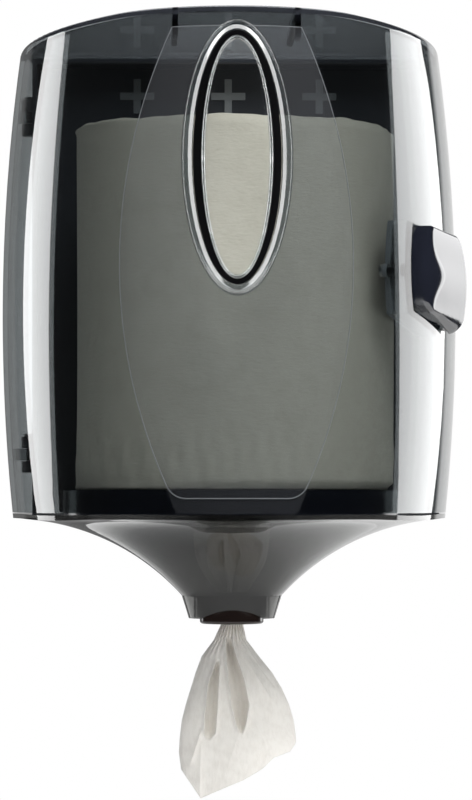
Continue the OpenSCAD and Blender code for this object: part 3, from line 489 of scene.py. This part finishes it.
across = np.cross(run, away)
turnRound = np.linspace(0, 2 * np.pi, panelSet["beadSteps"], endpoint=False)[:, None, None]
beadPoints = line[None] + panelSet["bead"] * (np.cos(turnRound) * away[None] + np.sin(turnRound) * across[None])
beadPoints = np.concatenate([beadPoints, beadPoints[:1]])
bead = gridPiece("panel_edge", beadPoints * mm, paintedHighlightEdge)
closePoles(bead)
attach(bead, "cover")

# roof ribs: two thin fins under the cover's roof that run back from its two gussets; each is a flat bar whose lower
# edge is a half round, and whose height fades to nothing at the back. The first row shrinks to a point, which closes
# the flat front end
ribSet = {"aside": 29.0, "front": -194.6, "back": -84.0, "under": 2.3, "high": 4.0, "half": 1.4, "fade": 6.0,
          "tipFade": 40.0, "rows": 41}
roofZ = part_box("front_cover")[1][2] / mm - ribSet["under"]
t = np.concatenate([[0], np.linspace(0, 1, ribSet["rows"] - 1)])[:, None]
a = np.linspace(0, np.pi, 11)[None, :]
begun = np.where(np.arange(ribSet["rows"]) > 0, 1.0, 0.0)[:, None]
tall = ribSet["high"] * begun * np.minimum(1, ribSet["fade"] * (1 - t))
narrow = begun * np.minimum(1, ribSet["tipFade"] * (1 - t))
lower = -tall + ribSet["half"] * (1 - np.sin(a)) * tall / ribSet["high"]
underside = np.concatenate([np.zeros_like(t), lower, np.zeros_like(t)], axis=1)
sideways = np.concatenate([[[-ribSet["half"]]], -ribSet["half"] * np.cos(a), [[ribSet["half"]]]], axis=1)
runY = np.broadcast_to(ribSet["front"] + (ribSet["back"] - ribSet["front"]) * t, underside.shape)
for name, place in (("roof_rib_left", -ribSet["aside"]), ("roof_rib_right", ribSet["aside"])):
    ribPoints = np.stack([place + sideways * narrow, runY, roofZ + underside], axis=-1) * mm
    rib = gridPiece(name, ribPoints, blackAbs)
    closePoles(rib)
    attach(rib, "cover")

# latch button: a pillow on the latch's own frame (u out of the side, v back to the wall, w up). Its outline is a square
# with small round corners, in even steps along its length, warped to the button's slanted sides; it turns over a round
# edge. latchSet holds the frame, outline and rows, crownSet the face, and lipSet its lower edge
latchSet = {"origin": (96.76, -128.0), "out": (0.93176, -0.36308), "back": 22.0, "front": -26.0, "frontRadius": 68.1,
            "half": 22.0, "slantFrom": -42.0, "slantLong": 64.0, "top": 24.0, "topFall": 4.0, "low": -15.4,
            "lowFall": 13.1, "fit": 0.993, "corner": 0.2, "edge": 0.09, "edgeFall": 2.4, "skirt": 0.91, "hollow": 0.86,
            "wall": 2.2, "foot": -4.5, "innerStep": 1.2, "steps": 240, "domeRows": 26, "turnRows": 13, "underRows": 12}
crownSet = {"start": 3.6, "rollEnds": 8.0, "rollMiddle": 11.0, "rollLong": 8.0, "rollMore": 9.0, "bulgeAt": -2.0,
            "bulgeHalf": 9.0, "backHigh": 13.4, "backDrop": 3.6, "backAt": -6.0, "backHalf": 24.0}
lipSet = {"least": 0.5, "wide": 7.0, "deep": 3.6, "power": 1.6, "from": -20.0, "overhang": 1.6, "lowFrom": -8.0,
          "footTo": 4.0, "overhangTo": 16.0, "rim": 2.7, "footLow": 0.6, "footMore": 3.2}


def onLatch(u, v, w):
    # from the latch's own frame in mm to the shared frame in metres
    x = latchSet["origin"][0] + u * latchSet["out"][0] - v * latchSet["out"][1]
    y = latchSet["origin"][1] + u * latchSet["out"][1] + v * latchSet["out"][0]
    return np.stack([x, y, w], axis=-1) * mm


quarter = np.linspace(0, np.pi / 2, 13)
cornerAt = 1 - latchSet["corner"]
arcX = cornerAt + latchSet["corner"] * np.cos(quarter)
arcY = cornerAt + latchSet["corner"] * np.sin(quarter)
pathX = np.concatenate([arcX, -arcX[::-1], -arcX, arcX[::-1], arcX[:1]])
pathY = np.concatenate([arcY, arcY[::-1], -arcY, -arcY[::-1], arcY[:1]])
gone = np.concatenate([[0.0], np.cumsum(np.hypot(np.diff(pathX), np.diff(pathY)))])
steps = np.linspace(0, gone[-1], latchSet["steps"], endpoint=False)
# rows: the dome, the turn over its edge, the skirt outside and inside, and the hollow underside back to the middle
dome = np.linspace(0, 1, latchSet["domeRows"])
turnOver = np.linspace(0, np.pi / 2, latchSet["turnRows"] + 1)[1:]
under = np.linspace(latchSet["hollow"], 0, latchSet["underRows"])
skirt = [1.0, 1.0, latchSet["skirt"], latchSet["skirt"]]
share = np.concatenate([dome * (1 - latchSet["edge"]), 1 - latchSet["edge"] + latchSet["edge"] * np.sin(turnOver),
                        skirt, under])[:, None]
fallOff = np.concatenate([np.zeros_like(dome), 1 - np.cos(turnOver), np.ones_like(skirt),
                          np.zeros_like(under)])[:, None]
rimRow = latchSet["domeRows"] + latchSet["turnRows"]
c = np.interp(steps, gone, pathX)[None, :] * share
d = np.interp(steps, gone, pathY)[None, :] * share
slant = (latchSet["half"] * c - latchSet["slantFrom"]) / latchSet["slantLong"]
highZ = latchSet["top"] - latchSet["topFall"] * slant
lowZ = latchSet["low"] - latchSet["lowFall"] * slant
w = (highZ + lowZ) / 2 + (highZ - lowZ) / 2 * d * latchSet["fit"]
frontV = latchSet["front"] + latchSet["frontRadius"] - np.sqrt(latchSet["frontRadius"] ** 2 - w ** 2)
v = frontV + (latchSet["back"] - frontV) * (c * latchSet["fit"] + 1) / 2
# the front rises in a quarter oval, longest and highest at mid height; behind it the face runs back at a slight slope.
# Along its lower edge it bends down in a lip that widens to the back, and overhangs the wall below
inward = v - latchSet["front"]
middle = np.exp(-((w - crownSet["bulgeAt"]) / crownSet["bulgeHalf"]) ** 2)
rollLength = crownSet["rollLong"] + crownSet["rollMore"] * middle
rollHigh = crownSet["rollEnds"] + (crownSet["rollMiddle"] - crownSet["rollEnds"]) * middle
rollIn = np.clip(inward / rollLength, 0, 1)
backHigh = crownSet["backHigh"] - crownSet["backDrop"] * ((w - crownSet["backAt"]) / crownSet["backHalf"]) ** 2
crown = crownSet["start"] + (rollHigh - crownSet["start"]) * np.sqrt(np.clip(1 - (1 - rollIn) ** 2, 0, 1))
crown = crown + (backHigh - rollHigh) * between(inward, rollLength, latchSet["back"] - latchSet["front"])
lipWide = lipSet["least"] + lipSet["wide"] * between(v, lipSet["from"], latchSet["back"])
inLip = np.clip(1 - (w - lowZ) / lipWide, 0, 1)
crown = crown - lipSet["deep"] * lipWide / (lipSet["least"] + lipSet["wide"]) * inLip ** lipSet["power"]
downward = np.clip(-d, 0, 1) ** 2
lowBack = downward * between(v, lipSet["lowFrom"], lipSet["footTo"])
foot = np.minimum(crown - lipSet["rim"], lipSet["footLow"] + lipSet["footMore"] * lowBack)
u = crown - fallOff * np.minimum(latchSet["edgeFall"], crown - foot)
u[rimRow] = foot[rimRow]
u[rimRow + 1:rimRow + 3] = latchSet["foot"]
u[rimRow + 3] = foot[rimRow + 3] - latchSet["innerStep"]
u[rimRow + 4:] = crown[rimRow + 4:] - latchSet["wall"]
overhang = lipSet["overhang"] * downward * between(v, lipSet["lowFrom"], lipSet["overhangTo"])
w[:rimRow] = w[:rimRow] - overhang[:rimRow]
button = gridPiece("latch_press", onLatch(u, v, w), latchAbs)
closePoles(button)
button.visible_glossy = False
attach(button, "latch")
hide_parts("latch_button")

# post behind the button: a stem turned about u with a small flare where it meets the button
postSet = {"radius": 4.0, "start": -16.0, "end": 10.2, "flare": 0.25, "flareFrom": 0.8, "cap": 0.04}
t = np.concatenate([[0.0], np.linspace(postSet["cap"], 1 - postSet["cap"], 20), [1.0]])[:, None]
a = np.linspace(0, 2 * np.pi, 40, endpoint=False)[None, :]
r = postSet["radius"] * (1 + postSet["flare"] * between(t, postSet["flareFrom"], 1) ** 2)
r = r * between(np.minimum(t, 1 - t), 0, postSet["cap"])
u = postSet["start"] + (postSet["end"] - postSet["start"]) * t
post = gridPiece("latch_post", onLatch(u, r * np.cos(a), r * np.sin(a)), latchAbs)
closePoles(post)
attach(post, "latch")

# return spring: round wire in a helix about u, between the bridge and the button.
# The wire closes to a point at both ends
springSet = {"coil": 6.5, "wire": 0.6, "turns": 5, "from": -11.5, "to": 9.3, "travel": 3.5, "rows": 181}
springLong = springSet["to"] - springSet["from"]
t = np.linspace(0, 1, springSet["rows"])[:, None]
b = np.linspace(0, 2 * np.pi, 10, endpoint=False)[None, :]
wire = springSet["wire"] * np.clip(np.minimum(t, 1 - t) * (springSet["rows"] - 1), 0, 1)
wound = 2 * np.pi * springSet["turns"] * t
r = springSet["coil"] + wire * np.cos(b)
u = springSet["from"] + springSet["wire"] + (springLong - 2 * springSet["wire"]) * t + wire * np.sin(b)
spring = gridPiece("return_spring", onLatch(u, r * np.cos(wound), r * np.sin(wound)), zincSteel)
closePoles(spring)
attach(spring, "cover")
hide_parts("latch_spring")
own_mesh(spring)
for piece in (ring, lensRim):
    edgePieces.objects.link(piece)
print("window and latch made")


# tray rim: a rounded lip along the front of the back plate's top wall, half an oval carried from side to side
trayLow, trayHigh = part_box("back_plate")
traySet = {"reach": 97.0, "thick": 2.5, "proud": 0.9, "sunk": 0.1, "taperPower": 40, "rows": 60, "steps": 12}
t = np.linspace(-1, 1, traySet["rows"])[:, None]
a = np.linspace(-np.pi / 2, np.pi / 2, traySet["steps"])[None, :]
taper = np.sqrt(np.clip(1 - np.abs(t) ** traySet["taperPower"], 0, 1))
y = trayLow[1] + traySet["sunk"] * mm - traySet["proud"] * mm * np.cos(a) * taper
z = trayHigh[2] - traySet["thick"] / 2 * mm * (1 - np.sin(a) * taper)
rimPoints = np.stack([np.broadcast_to(t * traySet["reach"] * mm, y.shape), y, z], axis=-1)
rim = gridPiece("tray_rim", rimPoints, blackAbs)
closePoles(rim)
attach(rim, "chassis")


# towel roll: a wound roll whose ends show the turns as a spiral ripple; its outer turns are loose and a little creased
rollSet = {"radius": 78.6, "core": 22.0, "low": -106.95, "high": 75.05, "edge": 1.6, "turnPitch": 1.6, "ripple": 0.22,
           "worn": 0.9, "sunk": 0.7, "fuller": 1.6, "steps": 240, "faceRows": 110, "wallRows": 90, "boreRows": 15}
angles = np.linspace(0, 2 * np.pi, rollSet["steps"], endpoint=False)[None, :]
face = np.linspace(rollSet["core"], rollSet["radius"] - rollSet["edge"], rollSet["faceRows"])
bend = np.radians(np.linspace(0, 90, 7))
bendOut = rollSet["radius"] - rollSet["edge"] + rollSet["edge"] * np.sin(bend)
bendUp = rollSet["edge"] * (1 - np.cos(bend))
wall = np.linspace(rollSet["low"] + rollSet["edge"], rollSet["high"] - rollSet["edge"], rollSet["wallRows"] + 2)[1:-1]
bore = np.linspace(rollSet["high"], rollSet["low"], rollSet["boreRows"] + 1)[1:]
# rows: the lower face, its edge, the wall, the upper edge, the upper face and the bore
radii = np.concatenate([face, bendOut[1:], np.full_like(wall, rollSet["radius"]), bendOut[::-1], face[::-1][1:],
                        np.full_like(bore, rollSet["core"])])[:, None]
levels = np.concatenate([np.full_like(face, rollSet["low"]), rollSet["low"] + bendUp[1:], wall,
                         rollSet["high"] - bendUp[::-1], np.full_like(face[1:], rollSet["high"]), bore])[:, None]
rows = [len(face), len(bend) - 1, len(wall), len(bend), len(face) - 1, len(bore)]
onFace = np.repeat([-1.0, 0, 0, 0, 1, 0], rows)[:, None]
onWall = np.repeat([0.0, 0, 1, 0, 0, 0], rows)[:, None]
# ripple of the turns: a wave in the radius that slips one pitch for each turn round the roll
wave = 0.5 - 0.5 * np.cos(2 * np.pi * radii / rollSet["turnPitch"] - angles)
levels = levels - onFace * rollSet["ripple"] * wave
# the top edge of the outer turns is worn: it waves by about half a millimetre
worn = 0.35 * np.sin(7 * angles + 0.6) + 0.25 * np.sin(16 * angles + 2.1) + 0.2 * np.sin(29 * angles)
outerTurns = between(radii, 60, 78) * between(levels, 60, 75)
levels = levels + (worn - rollSet["worn"]) * outerTurns
# the outer turn swells and sinks a little, fuller to the right, with short upright creases near its foot
loose = 0.35 * np.sin(3 * angles + 1.0 + levels / 60) + 0.25 * np.sin(5 * angles - levels / 35)
low = np.exp(-((levels - rollSet["low"] - 14) / 13) ** 2)
creased = 0.34 * np.sin(46 * angles + 3 * np.sin(4 * angles) + levels / 9) + 0.22 * np.sin(71 * angles - levels / 4)
radii = radii + onWall * (loose - rollSet["sunk"] + low * creased + rollSet["fuller"] * (1 + np.cos(angles)))
rollPoints = np.stack([radii * np.cos(angles), radii * np.sin(angles) + axisY / mm, levels], axis=-1) * mm
rollPoints = np.concatenate([rollPoints, rollPoints[:1]])
roll = gridPiece("wound_roll", rollPoints, rollPaper)
closePoles(roll)
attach(roll, "chassis")
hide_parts("towel_roll")
print("roll wound")


# gathered towel from the core to the nozzle: rings that narrow on the way down, pleated more as they narrow; the
# narrowing is S-shaped, just above the nozzle
webSet = {"top": -93.0, "low": -173.6, "wide": 20.6, "taper": 2.2, "narrow": 5.6, "fallAt": 0.72, "fallSteep": 17,
          "pleats": 13, "pleatPower": 0.7, "rows": 90, "steps": 390}
t = np.linspace(0, 1, webSet["rows"])[:, None]
a = np.linspace(0, 2 * np.pi, webSet["steps"], endpoint=False)[None, :]
level = webSet["top"] + (webSet["low"] - webSet["top"]) * t
fall = 1 / (1 + np.exp(-(t - webSet["fallAt"]) * webSet["fallSteep"]))
size = webSet["wide"] - webSet["taper"] * t - (webSet["wide"] - webSet["taper"] - webSet["narrow"]) * fall
depth = 0.2 + 0.16 * between(t, 0, 0.5) + 0.44 * fall
turned = 0.9 * t * np.sin(2 * t) + 0.22 * np.sin(3 * a + 4 * t)
pleat = 0.5 + 0.5 * np.cos(webSet["pleats"] * (a + turned * 0.5) + 0.7 * np.sin(2 * a))
r = size * (1 - depth * (1 - pleat ** webSet["pleatPower"]))
webPoints = np.stack([r * np.cos(a), r * np.sin(a) + axisY / mm, np.broadcast_to(level, r.shape)], axis=-1) * mm
web = gridPiece("gathered_towel", webPoints, sheetPaper)
thickenPaper(web)
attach(web, "chassis")
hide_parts("towel_web")

# hanging end: one sheet gathered at the nozzle. Across it runs from the left edge to the right edge, which both swing
# out with the drop; two long pockets open in its front, creases cross it, and the torn hem slants to a tip at the left.
# Low down it leans: its right half stands further forward than its left
tailSet = {
    "top": -173.9, "drops": (0, 8.2, 16.3, 24.3, 32.4, 40.4, 48.5, 56.5, 64.6, 73.6, 90),
    "left": (-5.0, -9.1, -15.1, -18.1, -20.6, -23.1, -25.1, -26.1, -26.6, -25.4, -24.0),
    "right": (5.4, 7.5, 13.6, 20.1, 25.1, 28.7, 31.2, 32.2, 32.4, 32.4, 32.4),
    "hemAcross": (0.0, 0.15, 0.36, 0.53, 0.70, 0.80, 0.94, 1.0),
    "hemDrop": (73.0, 87.0, 81.6, 77.4, 71.6, 66.2, 63.4, 59.0),
    "depth": (4.6, 12.5), "backShort": 9.0, "backIn": 0.05, "backFolds": 10, "lean": 6.0, "leanDrops": (44, 64),
    "leanAcross": (-17, 17), "rows": 118, "frontSteps": 260, "backSteps": 140}
pockets = [
    {"drops": (17, 30, 45, 54, 58), "left": (-7.5, -12.0, -13.6, -14.1, -12.8),
     "right": (-6.0, -6.8, -7.6, -8.4, -11.6), "deep": 6.5, "lip": 1.3},
    {"drops": (5, 17, 28, 40, 50, 55), "left": (-3.2, -2.8, -1.8, -0.4, 2.0, 4.2),
     "right": (-1.2, 2.3, 6.0, 8.4, 6.6, 4.8), "deep": 8.0, "lip": 1.6}]
creases = [
    {"drops": (50, 72), "at": (-14.6, -21.6), "high": 1.6, "wide": 1.3},
    {"drops": (58, 90), "at": (-15.6, -16.4), "high": 0.9, "wide": 1.5},
    {"drops": (10, 40), "at": (2.5, 21.0), "high": 0.8, "wide": 1.2},
    {"drops": (14, 34), "at": (8.0, 23.5), "high": -0.7, "wide": 1.3},
    {"drops": (46, 68), "at": (10.0, 21.0), "high": 0.7, "wide": 1.6},
    {"drops": (52, 74), "at": (22.0, 12.0), "high": -0.6, "wide": 1.8},
    {"drops": (44, 76), "at": (6.5, -4.0), "high": 0.5, "wide": 2.2}]
a = np.concatenate([np.linspace(0, np.pi, tailSet["frontSteps"], endpoint=False),
                    np.linspace(np.pi, 2 * np.pi, tailSet["backSteps"], endpoint=False)])[None, :]
t = np.linspace(0, 1, tailSet["rows"])[:, None]
across = 0.5 + 0.5 * np.cos(a)   # 0 at the left edge, 1 at the right
front = np.sin(a)                # 1 faces forward, -1 back
hem = np.interp(across, tailSet["hemAcross"], tailSet["hemDrop"])
hem = hem - np.where(front < 0, tailSet["backShort"] * np.abs(front) ** 0.5, 0)
drop = hem * t
left = np.interp(drop, tailSet["drops"], tailSet["left"])
right = np.interp(drop, tailSet["drops"], tailSet["right"])
x = left + (right - left) * across
x = np.where(front < 0, x + (0.5 * (left + right) - x) * tailSet["backIn"] * np.abs(front), x)
opened = 1 - np.exp(-(drop / 25.0) ** 1.6)   # how far the gather has let go at each drop
deep = tailSet["depth"][0] + (tailSet["depth"][1] - tailSet["depth"][0]) * opened
folds = 0.28 * np.cos(tailSet["backFolds"] * a + 1.8 * np.sin(2 * a) + drop / 26)
folds = folds + 0.15 * np.cos(2.3 * tailSet["backFolds"] * a - drop / 17)
fold = 1 + np.where(front < 0, folds * np.abs(front) ** 0.4, 0)
forward = deep * np.sign(front) * np.abs(front) ** 0.75 * fold
forward = forward + 1.2 * np.exp(-drop / 9) * np.cos(26 * a + 1.0) * (0.3 + 0.7 * np.abs(front))
facing = np.clip(front * 4, 0, 1)
for pocket in pockets:
    # between its two edges the sheet sinks in a bowl, and each edge stands up as a lip
    low = np.interp(drop, pocket["drops"], pocket["left"])
    high = np.interp(drop, pocket["drops"], pocket["right"])
    within = np.clip((x - low) / np.maximum(high - low, 0.2), 0, 1)
    opening = easeIn((drop - pocket["drops"][0]) / 7) * easeIn((pocket["drops"][-1] - drop) / 4)
    lips = np.exp(-((x - low) / 1.0) ** 2) + np.exp(-((x - high) / 1.0) ** 2)
    forward = forward + facing * opening * (pocket["lip"] * lips - pocket["deep"] * (4 * within * (1 - within)) ** 0.6)
for crease in creases:
    # a sharp ridge or valley along a slanted line, fading at both ends
    at = np.interp(drop, crease["drops"], crease["at"])
    on = easeIn((drop - crease["drops"][0]) / 5) * easeIn((crease["drops"][1] - drop) / 5)
    forward = forward + facing * on * crease["high"] * np.exp(-np.abs(x - at) / crease["wide"])
leaning = easeIn(between(drop, *tailSet["leanDrops"])) * easeIn(between(x, *tailSet["leanAcross"]))
forward = forward + facing * tailSet["lean"] * leaning
crumple = 0.16 * np.sin(drop / 2.3 + x / 1.9) * np.sin(x / 3.1 - drop / 4.7) + 0.1 * np.sin(drop / 1.1 - x / 2.7)
forward = forward + facing * crumple * opened
tailPoints = np.stack([x, axisY / mm - forward, tailSet["top"] - drop], axis=-1) * mm
tail = gridPiece("hanging_towel", tailPoints[:, ::-1], sheetPaper)
thickenPaper(tail)
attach(tail, "chassis")
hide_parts("towel_tail")
print("towel hung")
